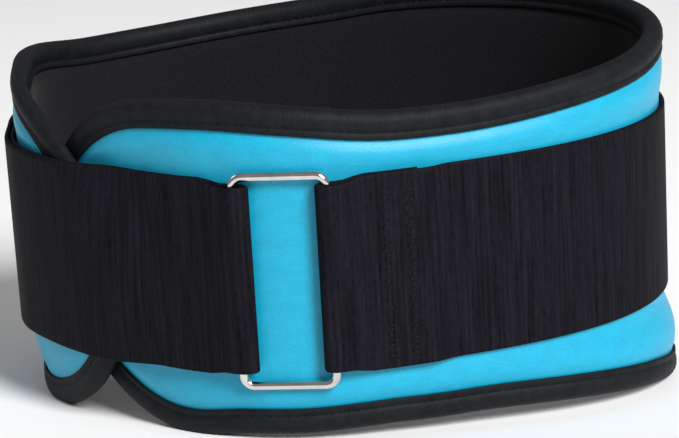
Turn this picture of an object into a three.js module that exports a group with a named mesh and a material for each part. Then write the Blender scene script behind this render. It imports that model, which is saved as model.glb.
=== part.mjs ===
// Weightlifting belt, fastened into a loop and standing on its lower edge.
// A contoured foam band laps over itself at the right of the front. A webbing strap runs round it, is
// sewn round one bar of a wire ring, and goes through the ring and back over itself at the other bar.
// Lengths are millimetres, angles are degrees. +Z is up, and the middle of the front faces -Y.
import * as THREE from "three";

// Driving dimensions
const waistWidth = 258.1; // band's middle line, side to side
const waistDepth = 196.4; // band's middle line, front to back
const bandThickness = 7;
const bandEndHeight = 130; // height of the band just behind each round end
const endTipTurn = -61.6; // where the under end's tip lies, seen from the middle of the front
const lapLength = 50.7; // how far the outer end reaches past the under end's tip
const lapEase = 42; // length over which the outer end rises onto the under end
const pressedLap = 0.78; // how thin the two ends are pressed where they lap
const underEndSkew = 0.167; // sideways lean of each end, per millimetre of height
const outerEndSkew = 0.115;
const outerEndUpper = -2.2; // how much higher the outer end's upper edge sits than the under end's
const outerEndLower = -5.1; // the same for its lower edge
const tapeWidth = 10.6; // edge binding, on each face
const tapeThickness = 1.2;
const strapWidth = 76;
const strapThickness = 1.9;
const wireDiameter = 3.5;
const ringInsideHeight = 77.6;
const ringInsideWidth = 31;
const ringBend = 4; // corner radius, to the middle of the wire
const ringTurn = 1.5; // the ring's middle, seen from the middle of the front
const ringDrop = 1.2; // how far the ring hangs below the strap's middle
const sewnLoopLength = 38; // from the sewn fold's edge to the end of the layer under it
const tailSlack = 1.8; // how much further the free end's fold stands into the ring
const layEase = 15; // length over which a fold comes down onto the layer below
const endEase = 12; // length over which the webbing comes down past the sewn layer's end
const tailEndTurn = -114; // where the free end of the strap stops
const clearance = 0.35; // between pieces that lie on each other
const strapGap = 0.46; // between the strap and the band
const leanForward = 5.37; // how the strap's plane leans when the loop stands by itself
const leanRight = 0.78;
const pressedDepth = 0.75; // how far the binding is flattened where it bears on the floor

// Waist line, looked at from above: pull of each point on an oval of the waist's size.
const waistTable = [
  { turn: -180, share: 1.005 },
  { turn: -150, share: 1.003 },
  { turn: -120, share: 0.994 },
  { turn: -90, share: 0.977 },
  { turn: -60, share: 0.939 },
  { turn: -30, share: 0.996 },
  { turn: 0, share: 1.097 },
  { turn: 30, share: 0.937 },
  { turn: 60, share: 0.93 },
  { turn: 90, share: 1.019 },
  { turn: 120, share: 1.016 },
  { turn: 150, share: 1.015 },
];

// Half of the band laid flat, tip to middle of the back. Along is a share of the half length; above
// and below are shares of half the end height, measured from the strap's middle.
const bandTable = [
  { along: 0, above: 0.85, below: 0.974 },
  { along: 0.18, above: 0.992, below: 1.019 },
  { along: 0.25, above: 1.02, below: 0.979 },
  { along: 0.32, above: 0.992, below: 0.97 },
  { along: 0.4, above: 0.925, below: 0.959 },
  { along: 0.45, above: 0.909, below: 0.968 },
  { along: 0.52, above: 0.914, below: 0.976 },
  { along: 0.62, above: 0.957, below: 1.027 },
  { along: 0.71, above: 1.009, below: 1.105 },
  { along: 0.78, above: 1.068, below: 1.185 },
  { along: 0.88, above: 1.11, below: 1.25 },
  { along: 1, above: 1.13, below: 1.29 },
];

// How far the band stands out at the hips, above and below the strap. The band is straight up and down as far
// as the flat half height, which the strap lies within, and has come out in full at the hip height.
const flatHalf = 40;
const hipHeight = 60;
const hipTable = [
  { turn: -180, above: 0, below: 0 },
  { turn: -115, above: 0, below: -1 },
  { turn: -75, above: 0, below: -3 },
  { turn: -40, above: 0, below: 0 },
  { turn: 45, above: 0, below: 0 },
  { turn: 95, above: 1.6, below: 4.5 },
  { turn: 140, above: 0, below: 1 },
  { turn: 180, above: 0, below: 0 },
];

// Small helpers

const degrees = Math.PI / 180;
const lerp = THREE.MathUtils.lerp;
const smooth = (x) => THREE.MathUtils.smoothstep(x, 0, 1);

// A smooth line through a table's rows, read at x.
function readTable(table, xName, yName, x) {
  const last = table.length - 1;
  let i = 0;
  while (i < last - 1 && x > table[i + 1][xName]) i += 1;
  const slopeAt = (k) => {
    const a = table[Math.max(k - 1, 0)];
    const b = table[Math.min(k + 1, last)];
    return k === 0 || k === last ? 0 : (b[yName] - a[yName]) / (b[xName] - a[xName]);
  };
  const from = table[i];
  const to = table[i + 1];
  const span = to[xName] - from[xName];
  const t = THREE.MathUtils.clamp((x - from[xName]) / span, 0, 1);
  const rise = to[yName] - from[yName];
  const startSlope = slopeAt(i) * span;
  const endSlope = slopeAt(i + 1) * span;
  const bend = (startSlope - rise) * (1 - t) + (rise - endSlope) * t;
  return from[yName] + t * rise + t * (1 - t) * bend;
}

// The waist line's distance from the middle, at a turn from the front.
function waistRadius(turn) {
  const count = waistTable.length;
  const place = ((turn + 180) / 360) * count;
  const row = Math.floor(place);
  const f = place - row;
  const weights = [
    (1 - f) ** 3 / 6,
    (3 * f ** 3 - 6 * f ** 2 + 4) / 6,
    (-3 * f ** 3 + 3 * f ** 2 + 3 * f + 1) / 6,
    f ** 3 / 6,
  ];
  let share = 0;
  weights.forEach((weight, k) => {
    share += weight * waistTable[(row - 1 + k + 2 * count) % count].share;
  });
  const sine = Math.sin(turn * degrees);
  const cosine = Math.cos(turn * degrees);
  return share / Math.hypot(sine / (waistWidth / 2), cosine / (waistDepth / 2));
}

const waistPoints = [];
for (let turn = 0; turn < 360; turn += 3) {
  const radius = waistRadius(turn > 180 ? turn - 360 : turn);
  const sine = Math.sin(turn * degrees);
  const cosine = Math.cos(turn * degrees);
  waistPoints.push(new THREE.Vector3(radius * sine, -radius * cosine, 0));
}
const waistLine = new THREE.CatmullRomCurve3(waistPoints, true);
waistLine.arcLengthDivisions = 1440;
const loopLength = waistLine.getLength();

// Distance along the waist line from the middle of the front to a turn.
function alongAt(turn) {
  const lengths = waistLine.getLengths();
  const place = (((turn / 360) % 1) + 1) % 1;
  const at = place * (lengths.length - 1);
  const row = Math.floor(at);
  const along = lerp(lengths[row], lengths[Math.min(row + 1, lengths.length - 1)], at - row);
  return turn < 0 ? along - loopLength : along;
}

const stand = new THREE.Euler(leanForward * degrees, -leanRight * degrees, 0);

// A place on the belt: along the waist line, up from the strap's middle, and out from the band's middle.
function onLoop(along, up, out) {
  const share = (((along / loopLength) % 1) + 1) % 1;
  const point = waistLine.getPointAt(share);
  const tangent = waistLine.getTangentAt(share);
  const outward = new THREE.Vector3(tangent.y, -tangent.x, 0);
  const turn = Math.atan2(point.x, -point.y) / degrees;
  const hipShare = THREE.MathUtils.clamp((Math.abs(up) - flatHalf) / (hipHeight - flatHalf), 0, 1);
  const hip = hipShare > 0 ? readTable(hipTable, "turn", up > 0 ? "above" : "below", turn) * hipShare : 0;
  point.addScaledVector(outward, out + hip);
  point.z = up;
  return point.applyEuler(stand);
}

// A mesh from a list of points and a list of quads; a quad with two equal corners becomes one triangle.
function closedMesh(name, points, quads, material) {
  const index = [];
  quads.forEach(([a, b, c, d]) => {
    if (a !== b && b !== c && a !== c) index.push(a, b, c);
    if (a !== c && c !== d && a !== d) index.push(a, c, d);
  });
  const geometry = new THREE.BufferGeometry();
  geometry.setFromPoints(points);
  geometry.setIndex(index);
  geometry.computeVertexNormals();
  const mesh = new THREE.Mesh(geometry, material);
  mesh.name = name;
  return mesh;
}

// Quads between neighbouring cross-sections of equal size, each section a closed line of points.
function sweptQuads(sectionCount, size, joined) {
  const quads = [];
  const last = joined ? sectionCount : sectionCount - 1;
  for (let i = 0; i < last; i += 1) {
    const here = i * size;
    const next = ((i + 1) % sectionCount) * size;
    for (let j = 0; j < size; j += 1) {
      const k = (j + 1) % size;
      quads.push([here + j, next + j, next + k, here + k]);
    }
  }
  return quads;
}

// Band outline: a closed line through both tips, laid flat

const tipSteps = 8;
const columns = 90;
const endRadius = bandEndHeight / 2;
const underTip = alongAt(endTipTurn);
const outerTip = underTip + lapLength + loopLength;
const halfBand = (outerTip - underTip) / 2;

// Distance from the nearer tip, and how far round the end's curve, for each column of the band.
function columnPlace(column) {
  const fromNearer = Math.min(column, columns - column);
  if (fromNearer < tipSteps) {
    const angle = (fromNearer / tipSteps) * 90 * degrees;
    return { fromTip: endRadius * (1 - Math.cos(angle)), fullness: Math.sin(angle) };
  }
  const t = (fromNearer - tipSteps) / (columns / 2 - tipSteps);
  return { fromTip: lerp(endRadius, halfBand, t), fullness: 1 };
}

// A point of the outline: side is 1 on the upper edge and -1 on the lower one.
function outlinePoint(column, side) {
  const { fromTip, fullness } = columnPlace(column);
  const share = fromTip / halfBand;
  const above = (readTable(bandTable, "along", "above", share) * bandEndHeight) / 2;
  const below = (readTable(bandTable, "along", "below", share) * bandEndHeight) / 2;
  const rise = ((side * (above + below)) / 2) * fullness;
  const fade = 1 - smooth(fromTip / 170);
  const up = (above - below) / 2 + rise;
  const raise = (side > 0 ? outerEndUpper : outerEndLower) * fade * fullness;
  if (column <= columns / 2) {
    return new THREE.Vector2(underTip + fromTip - underEndSkew * rise * fade, up);
  }
  return new THREE.Vector2(outerTip - fromTip - outerEndSkew * rise * fade, up + raise);
}

const outline = [];
for (let column = 0; column <= columns; column += 1) outline.push(outlinePoint(column, 1));
for (let column = columns - 1; column > 0; column -= 1) outline.push(outlinePoint(column, -1));

// The outline moved inward by a distance.
function insetPoint(k, inset) {
  const count = outline.length;
  const before = outline[(k + count - 1) % count];
  const after = outline[(k + 1) % count];
  const direction = after.clone().sub(before).normalize();
  const inward = new THREE.Vector2(direction.y, -direction.x);
  return outline[k].clone().addScaledVector(inward, inset);
}

// How far into the lap a place is, coming to it from the underlying end's side.
const intoLap = (place) => smooth((place - underTip + 3 + lapEase) / lapEase);

// Both ends are pressed thinner in the lap, and the outer end is lifted clear of the under end.
const bindingHalf = bandThickness / 2 + 0.5;
const lapLift = 2 * bindingHalf * pressedLap + 0.66;
const bandLift = (along) => lapLift * intoLap(along - loopLength);

function pressedShare(along) {
  const place = along > loopLength / 2 ? along - loopLength : along;
  const past = smooth((place - underTip - lapLength - 9) / 25);
  return lerp(1, pressedLap, intoLap(place) * (1 - past));
}

function onBand(flat, out) {
  return onLoop(flat.x, flat.y, bandLift(flat.x) + out * pressedShare(flat.x));
}

// Materials

const foamCloth = new THREE.MeshStandardMaterial({ color: 0x1ea3c6, roughness: 0.85, metalness: 0 });
const tapeCloth = new THREE.MeshStandardMaterial({ color: 0x1e1a20, roughness: 0.8, metalness: 0 });
const webbing = new THREE.MeshStandardMaterial({ color: 0x1a1a22, roughness: 0.75, metalness: 0 });
const chrome = new THREE.MeshStandardMaterial({ color: 0xc8c4c2, roughness: 0.12, metalness: 1 });

// Belt body: a slab with a thinner edge that the binding takes in

const edgeHalf = bindingHalf - tapeThickness - clearance;
const bodyProfile = [
  { inset: tapeThickness + clearance, out: edgeHalf - 0.6 },
  { inset: tapeWidth + 0.4, out: edgeHalf },
  { inset: tapeWidth + 1.9, out: bandThickness / 2 },
];
const fieldRows = 5;

// Height of a row of the field; the outer rows keep to the flat half height.
function fieldHeight(upper, lower, row) {
  const middle = (upper + lower) / 2;
  const half = (upper - lower) / 2;
  const share = 1 - (2 * row) / fieldRows;
  const outerRow = fieldRows / 2 - 1;
  const reach = (Math.abs(share) * fieldRows) / 2 / outerRow;
  const edge = Math.min(half * 0.85, flatHalf - middle * Math.sign(share));
  return middle + Math.sign(share) * reach * edge;
}

function makeBody() {
  const points = [];
  const quads = [];
  const count = outline.length;
  const levels = [...bodyProfile].reverse().map(({ inset, out }) => ({ inset, out: -out }));
  levels.push(...bodyProfile);
  levels.forEach(({ inset, out }) => {
    for (let k = 0; k < count; k += 1) points.push(onBand(insetPoint(k, inset), out));
  });
  for (let level = 0; level < levels.length - 1; level += 1) {
    for (let k = 0; k < count; k += 1) {
      const next = (k + 1) % count;
      const low = level * count;
      const high = (level + 1) * count;
      quads.push([low + k, high + k, high + next, low + next]);
    }
  }
  // The two faces, filled between the upper and lower edges column by column.
  [0, levels.length - 1].forEach((level) => {
    const { inset, out } = levels[level];
    const grid = [];
    for (let column = 0; column <= columns; column += 1) {
      const upper = column;
      const lower = (count - column) % count;
      const line = [level * count + upper];
      for (let row = 1; row < fieldRows; row += 1) {
        if (column === 0 || column === columns) {
          line.push(level * count + upper);
        } else {
          const top = insetPoint(upper, inset);
          const bottom = insetPoint(lower, inset);
          const up = fieldHeight(top.y, bottom.y, row);
          const flat = top.clone().lerp(bottom, (top.y - up) / (top.y - bottom.y));
          points.push(onBand(flat, out));
          line.push(points.length - 1);
        }
      }
      line.push(level * count + lower);
      grid.push(line);
    }
    for (let column = 0; column < columns; column += 1) {
      for (let row = 0; row < fieldRows; row += 1) {
        const a = grid[column][row];
        const b = grid[column + 1][row];
        const c = grid[column + 1][row + 1];
        const d = grid[column][row + 1];
        quads.push(out > 0 ? [a, d, c, b] : [a, b, c, d]);
      }
    }
  });
  return closedMesh("belt_body", points, quads, foamCloth);
}

// Edge binding: tape folded over the band's edge, all the way round

const bindingProfile = [
  { inset: tapeWidth, out: bindingHalf - 0.1 },
  { inset: tapeWidth / 2, out: bindingHalf },
  { inset: 1.1, out: bindingHalf - 0.9 },
  { inset: 0, out: 1.4 },
  { inset: 0, out: -1.4 },
  { inset: 1.1, out: -(bindingHalf - 0.9) },
  { inset: tapeWidth / 2, out: -bindingHalf },
  { inset: tapeWidth, out: -(bindingHalf - 0.1) },
  { inset: tapeWidth, out: -(bindingHalf - tapeThickness) },
  { inset: tapeThickness, out: -(edgeHalf - 0.25) },
  { inset: tapeThickness, out: edgeHalf - 0.25 },
  { inset: tapeWidth, out: bindingHalf - tapeThickness },
];

function makeBinding() {
  const points = [];
  outline.forEach((_, k) => {
    bindingProfile.forEach(({ inset, out }) => points.push(onBand(insetPoint(k, inset), out)));
  });
  const quads = sweptQuads(outline.length, bindingProfile.length, true);
  return closedMesh("edge_binding", points, quads, tapeCloth);
}

// Strap and ring positions

const strapOut = bandThickness / 2 + strapGap + strapThickness / 2;
const layerStep = strapThickness + clearance;
const wireOut = strapOut + strapThickness / 2 + clearance + wireDiameter / 2;
const foldRadius = wireDiameter / 2 + clearance + strapThickness / 2;
const ringMiddle = alongAt(ringTurn);
const waistBend = waistRadius(ringTurn);
const halfRing = ((ringInsideWidth + wireDiameter) / 2) * (waistBend / (waistBend + wireOut));
const leftBar = ringMiddle + halfRing; // towards +X, where the strap is sewn
const rightBar = ringMiddle - halfRing + loopLength; // where the strap goes back over itself

// Where the outer end's edge lies at a height, and the strap's lift over it.
function outerTipAt(up) {
  let k = columns - tipSteps;
  while (outline[k + 1].y > up) k += 1;
  return lerp(outline[k].x, outline[k + 1].x, (outline[k].y - up) / (outline[k].y - outline[k + 1].y));
}
const stepBefore = 4;
const stepAfter = 24;
const strapRise = lapLift + 0.5 - (bandThickness / 2) * (1 - pressedLap);
function strapLift(along, up) {
  const step = (along - outerTipAt(up) + stepBefore) / (stepBefore + stepAfter);
  return strapRise * intoLap(along - loopLength) * (1 - smooth(step));
}

// Strap: its middle line at one height, from the sewn layer's end, round the waist, to the free end
function strapLine(up) {
  const line = [];
  const add = (along, out) => line.push(new THREE.Vector2(along, out));
  const foldSteps = 8;
  // Sewn layer, from its end to the bar.
  const sewnEnd = leftBar - foldRadius - strapThickness / 2 + sewnLoopLength;
  for (let i = 0; i < 4; i += 1) add(lerp(sewnEnd, leftBar, i / 4), strapOut);
  for (let i = 0; i <= foldSteps; i += 1) {
    const angle = (-90 - (180 * i) / foldSteps) * degrees;
    add(leftBar + foldRadius * Math.cos(angle), wireOut + foldRadius * Math.sin(angle));
  }
  // Over the sewn layer, then down onto the band.
  const foldTop = wireOut + foldRadius;
  const overOut = strapOut + layerStep;
  for (let i = 1; i <= 5; i += 1) add(leftBar + (layEase * i) / 5, lerp(foldTop, overOut, smooth(i / 5)));
  add(lerp(leftBar + layEase, sewnEnd, 0.5), overOut);
  for (let i = 0; i <= 4; i += 1) {
    add(sewnEnd + 2 + (endEase * i) / 4, lerp(overOut, strapOut, smooth(i / 4)));
  }
  // Round the waist to the outer end.
  const roundStart = sewnEnd + endEase + 11;
  const roundEnd = outerTip - 32;
  const roundSteps = Math.round((roundEnd - roundStart) / 9.5);
  for (let i = 0; i <= roundSteps; i += 1) {
    const along = lerp(roundStart, roundEnd, i / roundSteps);
    add(along, strapOut + strapLift(along, up));
  }
  // Down the outer end's edge onto the under end, and on to the other bar.
  const tip = outerTipAt(up);
  const downAlong = [];
  for (let i = 1; i <= 2; i += 1) downAlong.push(lerp(roundEnd, tip - stepBefore, i / 3));
  for (let i = 0; i <= 8; i += 1) downAlong.push(tip - stepBefore + ((stepBefore + stepAfter) * i) / 8);
  for (let i = 1; i <= 2; i += 1) downAlong.push(lerp(tip + stepAfter, rightBar - layEase - 3, i / 2));
  downAlong.forEach((along) => add(along, strapOut + strapLift(along, up)));
  add(rightBar - layEase * 0.6, strapOut);
  for (let i = 0; i <= foldSteps; i += 1) {
    const angle = (-90 + (180 * i) / foldSteps) * degrees;
    add(rightBar + (foldRadius + tailSlack) * Math.cos(angle), wireOut + foldRadius * Math.sin(angle));
  }
  // The free end, back over the layer below it.
  for (let i = 1; i <= 4; i += 1) add(rightBar - (layEase * i) / 5, lerp(foldTop, overOut, smooth(i / 5)));
  const tailEnd = alongAt(tailEndTurn) + loopLength;
  const over = (along, ahead) => {
    const here = new THREE.Vector2(along, strapOut + strapLift(along, up));
    const next = new THREE.Vector2(along + ahead, strapOut + strapLift(along + ahead, up));
    const direction = next.sub(here).normalize();
    add(here.x - direction.y * layerStep, here.y + direction.x * layerStep);
  };
  [...downAlong].reverse().forEach((along) => over(along, 0.01));
  const tailSteps = Math.round((roundEnd - tailEnd) / 9.5);
  for (let i = tailSteps; i >= 0; i -= 1) over(lerp(tailEnd, roundEnd, i / tailSteps), 0.01);
  return line;
}

const strapHeights = [-38, -24, -8, 8, 24, 38].map((share) => (share / 76) * strapWidth);

// The webbing gathers where it goes round a bar, until it lies on the bar's straight length.
const gatheredHalf = (ringInsideHeight + wireDiameter) / 2 - ringBend - ringDrop + 0.75;
const gathered = Math.min(1, gatheredHalf / (strapWidth / 2));
function gather(along) {
  const nearer = Math.min(Math.abs(along - leftBar), Math.abs(along - rightBar));
  return lerp(gathered, 1, smooth((nearer - 4) / 10));
}

function makeStrap() {
  const size = 2 * strapHeights.length;
  const lines = strapHeights.map(strapLine);
  const count = lines[0].length;
  const points = [];
  for (let i = 0; i < count; i += 1) {
    const faces = [];
    lines.forEach((line, column) => {
      const before = line[Math.max(i - 1, 0)];
      const after = line[Math.min(i + 1, count - 1)];
      const direction = after.clone().sub(before).normalize();
      const across = new THREE.Vector2(-direction.y, direction.x).multiplyScalar(strapThickness / 2);
      const top = line[i].clone().add(across);
      const under = line[i].clone().sub(across);
      const up = strapHeights[column] * gather(line[i].x);
      faces.push([onLoop(top.x, up, top.y), onLoop(under.x, up, under.y)]);
    });
    faces.forEach((pair) => points.push(pair[0]));
    [...faces].reverse().forEach((pair) => points.push(pair[1]));
  }
  const quads = sweptQuads(count, size, false);
  const lastSection = (count - 1) * size;
  for (let j = 0; j < strapHeights.length - 1; j += 1) {
    const k = size - 1 - j;
    quads.push([j, j + 1, k - 1, k]);
    quads.push([lastSection + j, lastSection + k, lastSection + k - 1, lastSection + j + 1]);
  }
  return closedMesh("strap", points, quads, webbing);
}

// Ring: round wire bent into a rectangle

function makeRing() {
  const left = onLoop(rightBar, 0, wireOut);
  const right = onLoop(leftBar, 0, wireOut);
  const top = onLoop(rightBar, 1, wireOut).sub(left).normalize();
  const side = right.clone().sub(left);
  const halfWidth = side.length() / 2;
  const halfHeight = (ringInsideHeight + wireDiameter) / 2;
  const middle = left.clone().lerp(right, 0.5);
  side.normalize();
  middle.addScaledVector(top, -ringDrop);
  const front = side.clone().cross(top);
  const cornerSteps = 6;
  const sides = 10;
  const points = [];
  const corners = [
    { x: 1, y: 1, start: 0 },
    { x: -1, y: 1, start: 90 },
    { x: -1, y: -1, start: 180 },
    { x: 1, y: -1, start: 270 },
  ];
  let sections = 0;
  corners.forEach(({ x, y, start }) => {
    for (let i = 0; i <= cornerSteps; i += 1) {
      const angle = (start + (90 * i) / cornerSteps) * degrees;
      const outward = side.clone().multiplyScalar(Math.cos(angle)).addScaledVector(top, Math.sin(angle));
      const centre = middle.clone();
      centre.addScaledVector(side, x * (halfWidth - ringBend));
      centre.addScaledVector(top, y * (halfHeight - ringBend));
      centre.addScaledVector(outward, ringBend);
      for (let j = 0; j < sides; j += 1) {
        const around = ((j * 360) / sides) * degrees;
        const point = centre.clone().addScaledVector(outward, (Math.cos(around) * wireDiameter) / 2);
        points.push(point.addScaledVector(front, (Math.sin(around) * wireDiameter) / 2));
      }
      sections += 1;
    }
  });
  return closedMesh("ring", points, sweptQuads(sections, sides, true), chrome);
}

// The whole belt, set down on the floor

const belt = new THREE.Group();
belt.name = "weightlifting_belt";
const binding = makeBinding();
belt.add(makeBody(), binding, makeStrap(), makeRing());

const room = new THREE.Box3().setFromObject(belt);
const middle = room.getCenter(new THREE.Vector3());
binding.geometry.computeBoundingBox();
const lift = -binding.geometry.boundingBox.min.z - pressedDepth;
belt.children.forEach((piece) => piece.geometry.translate(-middle.x, -middle.y, lift));
const bearing = binding.geometry.attributes.position;
for (let i = 0; i < bearing.count; i += 1) {
  if (bearing.getZ(i) < 0) bearing.setZ(i, 0);
}
binding.geometry.computeVertexNormals();

export default belt;
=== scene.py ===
"""Looks of a fastened weightlifting belt: padded band, binding, webbing strap, wire ring and stitching."""
import math

import bmesh
import bpy
import numpy as np
from bpy.props import FloatProperty, FloatVectorProperty, PointerProperty
from mathutils import Matrix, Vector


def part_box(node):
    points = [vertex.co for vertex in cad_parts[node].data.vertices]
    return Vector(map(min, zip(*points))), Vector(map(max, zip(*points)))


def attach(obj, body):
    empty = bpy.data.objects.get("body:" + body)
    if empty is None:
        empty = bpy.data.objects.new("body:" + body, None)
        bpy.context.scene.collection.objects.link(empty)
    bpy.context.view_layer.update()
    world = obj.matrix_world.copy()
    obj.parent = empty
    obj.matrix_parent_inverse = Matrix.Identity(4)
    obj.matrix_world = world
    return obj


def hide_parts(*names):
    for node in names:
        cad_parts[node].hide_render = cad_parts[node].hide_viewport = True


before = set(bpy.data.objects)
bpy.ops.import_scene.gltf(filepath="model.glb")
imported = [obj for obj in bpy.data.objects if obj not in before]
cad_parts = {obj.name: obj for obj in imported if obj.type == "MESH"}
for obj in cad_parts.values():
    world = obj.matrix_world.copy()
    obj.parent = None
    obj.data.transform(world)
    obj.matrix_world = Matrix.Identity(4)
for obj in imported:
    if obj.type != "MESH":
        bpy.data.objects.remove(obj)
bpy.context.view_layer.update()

bl_info = {
    "name": "Weightlifting belt",
    "version": (1, 0, 0),
    "blender": (4, 5, 0),
    "location": "3D View > Sidebar > Belt",
    "description": "Builds a weightlifting belt with its cloth, webbing, ring and stitching",
    "category": "Add Mesh",
}

MM = 0.001

# The loop's shape, as in the part's source. Lengths are millimetres, angles degrees.
# The pull of each point on an oval of the waist's size, every 30 degrees from the back.
WAIST_WIDTH, WAIST_DEPTH = 258.1, 196.4
WAIST_SHARES = np.array([1.005, 1.003, 0.994, 0.977, 0.939, 0.996, 1.097, 0.937, 0.93, 1.019, 1.016, 1.015])
# Half of the band laid flat, from a tip to the back: share of the half length, height above, height below.
BAND_HEIGHTS = [
    (0, 0.85, 0.974), (0.18, 0.992, 1.019), (0.25, 1.02, 0.979), (0.32, 0.992, 0.97),
    (0.4, 0.925, 0.959), (0.45, 0.909, 0.968), (0.52, 0.914, 0.976), (0.62, 0.957, 1.027),
    (0.71, 1.009, 1.105), (0.78, 1.068, 1.185), (0.88, 1.11, 1.25), (1, 1.13, 1.29),
]
# How far the band stands out at the hips: turn from the front, above the strap, below the strap.
HIPS = [
    (-180, 0, 0), (-115, 0, -1), (-75, 0, -3), (-40, 0, 0),
    (45, 0, 0), (95, 1.6, 4.5), (140, 0, 1), (180, 0, 0),
]
FLAT_HALF, HIP_HEIGHT = 40, 60
END_TIP_TURN, LAP_LENGTH, LAP_EASE, PRESSED_LAP = -61.6, 50.7, 42, 0.78
END_RADIUS = 65
UNDER_SKEW, OUTER_SKEW = 0.167, 0.115
OUTER_UPPER, OUTER_LOWER = -2.2, -5.1
BAND_HALF = 3.5
LAP_LIFT = 2 * (BAND_HALF + 0.5) * PRESSED_LAP + 0.66
STRAP_GAP, CLEARANCE = 0.46, 0.35
STEP_BEFORE, STEP_AFTER = 4, 24
STRAP_RISE = LAP_LIFT + 0.5 - BAND_HALF * (1 - PRESSED_LAP)
RING_TURN, RING_DROP, TAIL_SLACK = 1.5, 1.2, 1.8
SEWN_LOOP_LENGTH, LAY_EASE, END_EASE = 38, 15, 12
TAIL_END_TURN = -114
LEAN_FORWARD, LEAN_RIGHT = 5.37, 0.78

# Seams, in millimetres: in from the band's outline, and back from the strap's fold at the ring.
BINDING_SEAM_INSET = 8.0
ZIGZAG_SEAMS = (24.5, 33.5)

# The camera, fitted to the photograph: degrees and millimetres in the leaning frame of the belt, then pixels.
CAMERA_AZIMUTH, CAMERA_ELEVATION, CAMERA_ROLL = 12, 15.99, -3.31
CAMERA_DISTANCE, CAMERA_ACROSS, CAMERA_ABOVE = 1028.26, 2.53, -8.54
CAMERA_FOCAL, IMAGE_WIDTH, SENSOR_WIDTH = 2501.02, 679, 36


def ease(x):
    """Smooth step from 0 to 1."""
    x = np.clip(x, 0, 1)
    return x * x * (3 - 2 * x)


def read_table(rows, column, x):
    """A smooth line through a table's rows, read at x."""
    table = np.array(rows, float)
    xs, ys = table[:, 0], table[:, column]
    slope = np.zeros(len(xs))
    slope[1:-1] = (ys[2:] - ys[:-2]) / (xs[2:] - xs[:-2])
    i = np.clip(np.searchsorted(xs, x) - 1, 0, len(xs) - 2)
    span, rise = xs[i + 1] - xs[i], ys[i + 1] - ys[i]
    t = np.clip((x - xs[i]) / span, 0, 1)
    bend = (slope[i] * span - rise) * (1 - t) + (rise - slope[i + 1] * span) * t
    return ys[i] + t * rise + t * (1 - t) * bend


def waist_radius(turn):
    """The waist line's distance from the middle, at a turn from the front."""
    place = (np.asarray(turn, float) + 180) / 30
    row = np.floor(place).astype(int)
    f = place - row
    weights = ((1 - f) ** 3, 3 * f**3 - 6 * f**2 + 4, -3 * f**3 + 3 * f**2 + 3 * f + 1, f**3)
    share = sum(w / 6 * WAIST_SHARES[(row - 1 + k) % 12] for k, w in enumerate(weights))
    sine, cosine = np.sin(np.radians(turn)), np.cos(np.radians(turn))
    return share / np.hypot(sine / (WAIST_WIDTH / 2), cosine / (WAIST_DEPTH / 2))


TURNS = np.linspace(-180, 180, 2881)
_radii, _angles = waist_radius(TURNS), np.radians(TURNS)
WAIST = np.stack([_radii * np.sin(_angles), -_radii * np.cos(_angles)], 1)
ALONGS = np.concatenate([[0], np.cumsum(np.linalg.norm(np.diff(WAIST, axis=0), axis=1))])
LOOP = ALONGS[-1]
ALONGS = ALONGS - np.interp(0, TURNS, ALONGS)
_ahead = np.roll(WAIST[:-1], -1, 0) - np.roll(WAIST[:-1], 1, 0)
_ahead = np.concatenate([_ahead, _ahead[:1]])
OUTWARD = np.stack([_ahead[:, 1], -_ahead[:, 0]], 1) / np.linalg.norm(_ahead, axis=1)[:, None]


def along_at(turn):
    """Distance along the waist line from the middle of the front to a turn."""
    return float(np.interp(turn, TURNS, ALONGS))


STAND = np.array(
    Matrix.Rotation(math.radians(LEAN_FORWARD), 3, "X") @ Matrix.Rotation(-math.radians(LEAN_RIGHT), 3, "Y")
)
shift = np.zeros(3)


def on_loop(along, up, out):
    """A place on the belt, in metres.

    It lies so many millimetres along the waist line, up from the strap's middle and out from the band's middle.
    """
    along, up, out = np.broadcast_arrays(np.asarray(along, float), up, out)
    at = (along - ALONGS[0]) % LOOP + ALONGS[0]
    turn = np.interp(at, ALONGS, TURNS)
    hip = np.where(up > 0, read_table(HIPS, 1, turn), read_table(HIPS, 2, turn))
    reach = out + hip * ease((np.abs(up) - FLAT_HALF) / (HIP_HEIGHT - FLAT_HALF))
    outward = np.stack([np.interp(at, ALONGS, OUTWARD[:, k]) for k in (0, 1)], -1)
    point = np.stack([np.interp(at, ALONGS, WAIST[:, k]) for k in (0, 1)], -1) + outward * reach[..., None]
    flat = np.concatenate([point, up[..., None].astype(float)], -1)
    return (flat @ STAND.T + shift) * MM


UNDER_TIP = along_at(END_TIP_TURN)
OUTER_TIP = UNDER_TIP + LAP_LENGTH + LOOP
HALF_BAND = (OUTER_TIP - UNDER_TIP) / 2


def into_lap(place):
    """How far into the lap a place is, coming to it from the underlying end's side."""
    return ease((place - UNDER_TIP + 3 + LAP_EASE) / LAP_EASE)


def pressed_share(along):
    """Both ends are pressed thinner in the lap."""
    place = np.where(along > LOOP / 2, along - LOOP, along)
    past = ease((place - UNDER_TIP - LAP_LENGTH - 9) / 25)
    return 1 - (1 - PRESSED_LAP) * into_lap(place) * (1 - past)


def on_band(flat, out):
    """A place on the flat band (along, up), so far out of its middle. The outer end lies over the other."""
    along = flat[..., 0]
    return on_loop(along, flat[..., 1], LAP_LIFT * into_lap(along - LOOP) + out * pressed_share(along))


# Of this many equal parts from tip to tip, so many at each end make its round stretch.
OUTLINE_PARTS, ROUND_PARTS = 90, 8
# How far from a tip, in millimetres, the end's own slant and height fade out.
END_REACH = 170


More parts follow.
